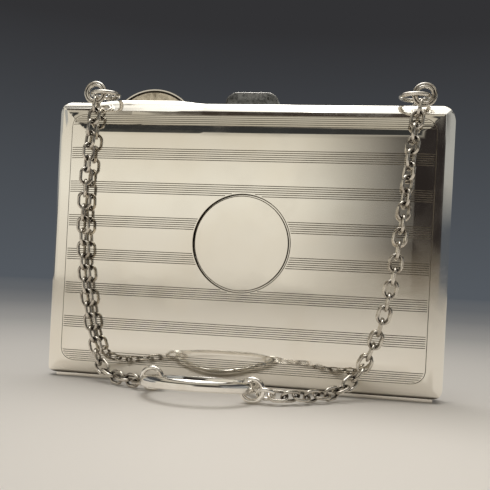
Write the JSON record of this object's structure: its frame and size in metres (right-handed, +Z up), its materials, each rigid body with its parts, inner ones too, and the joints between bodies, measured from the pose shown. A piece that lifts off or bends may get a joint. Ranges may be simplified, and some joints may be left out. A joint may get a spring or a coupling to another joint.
{
  "type": "card case with chain handle",
  "caption": "Slim silver visiting card case, engraved cushioned shells on a bottom hinge, inner card leaf, and a chain handle with a finger ring",
  "frame": {"origin": "on the surface the case stands on, below the middle of the hinge pin", "axes": "+X to the right as seen from the engraved face, +Y towards the back cover, +Z up; the engraved face looks along -Y"},
  "size_m": [0.088, 0.0345, 0.0667],
  "materials": {
    "engraved_silver": "polished sterling silver with fine engraved lines",
    "polished_silver": "polished sterling silver with light handling scratches",
    "gilt_silver": "soft gilt wash on the inside",
    "pin_silver": "drawn wire, slightly dull",
    "thumb_silver": "serrated face, matt in the grooves",
    "chain_silver": "rounded wire with dark tarnish in the corners",
    "ring_silver": "polished half-round band, worn",
    "lining_leather": "thin smooth leather over board",
    "pocket_leather": "thin smooth leather band"
  },
  "bodies": {
    "root": {"front_shell": "engraved_silver", "front_bezel": "gilt_silver", "front_hinge_bearer": "polished_silver", "front_hinge_knuckles": "polished_silver", "hinge_pin": "pin_silver", "catch_spring": "pin_silver", "leaf_hinge_lugs": "gilt_silver", "leaf_hinge_pin": "pin_silver", "card_spring": "gilt_silver", "card_spring_rivets": "pin_silver", "left_eye": "chain_silver", "right_eye": "chain_silver"},
    "rear_cover": {"rear_shell": "polished_silver", "rear_hinge_bearer": "polished_silver", "rear_hinge_knuckles": "polished_silver", "thumb_piece": "thumb_silver", "catch_tongue": "polished_silver", "rear_lining": "lining_leather", "rear_card_pocket": "pocket_leather"},
    "leaf": {"card_leaf": "gilt_silver", "leaf_thumb_lift": "polished_silver"},
    "shackles": {"left_shackle": "chain_silver", "right_shackle": "chain_silver", "left_top_ring": "chain_silver", "right_top_ring": "chain_silver"},
    "chain_upper": {"left_chain_upper": "chain_silver", "right_chain_upper": "chain_silver"},
    "chain_lower": {"left_chain_lower": "chain_silver", "right_chain_lower": "chain_silver"},
    "grip": {"left_chain_end": "chain_silver", "right_chain_end": "chain_silver", "left_ring_loop": "chain_silver", "right_ring_loop": "chain_silver", "closing_ring": "chain_silver"},
    "finger": {"finger_ring": "ring_silver"}
  },
  "joints": [
    {"name": "cover_open", "type": "hinge", "parent": "root", "child": "rear_cover", "pos_m": [0, 0, 0.0009], "axis": [-1, 0, 0], "range_deg": [0, 88]},
    {"name": "leaf_open", "type": "hinge", "parent": "root", "child": "leaf", "pos_m": [0, 0.0008, 0.00355], "axis": [-1, 0, 0], "range_deg": [0, 52.8]},
    {"name": "shackle_lift", "type": "hinge", "parent": "root", "child": "shackles", "pos_m": [0, -0.00094, 0.06413], "axis": [-1, 0, 0], "range_deg": [0, 100]},
    {"name": "chain_swing", "type": "hinge", "parent": "shackles", "child": "chain_upper", "pos_m": [0, -0.0055, 0.06215], "axis": [-1, 0, 0], "range_deg": [0, 50]},
    {"name": "chain_knee", "type": "hinge", "parent": "chain_upper", "child": "chain_lower", "pos_m": [0.03336, -0.00705, 0.03261], "axis": [-1, 0, -0.0001], "range_deg": [0, 90]},
    {"name": "chain_fold", "type": "hinge", "parent": "chain_lower", "child": "grip", "pos_m": [0.02683, -0.00705, 0.00615], "axis": [-1, 0, -0.0007], "range_deg": [-20, 85]},
    {"name": "ring_spin", "type": "hinge", "parent": "grip", "child": "finger", "pos_m": [-0.0047, -0.0174, 0.00269], "axis": [0, 0.1097, 0.994], "continuous": true}
  ],
  "couplings": [
    {"joint": "leaf_open", "follows": "cover_open", "ratio": 0.6}
  ]
}
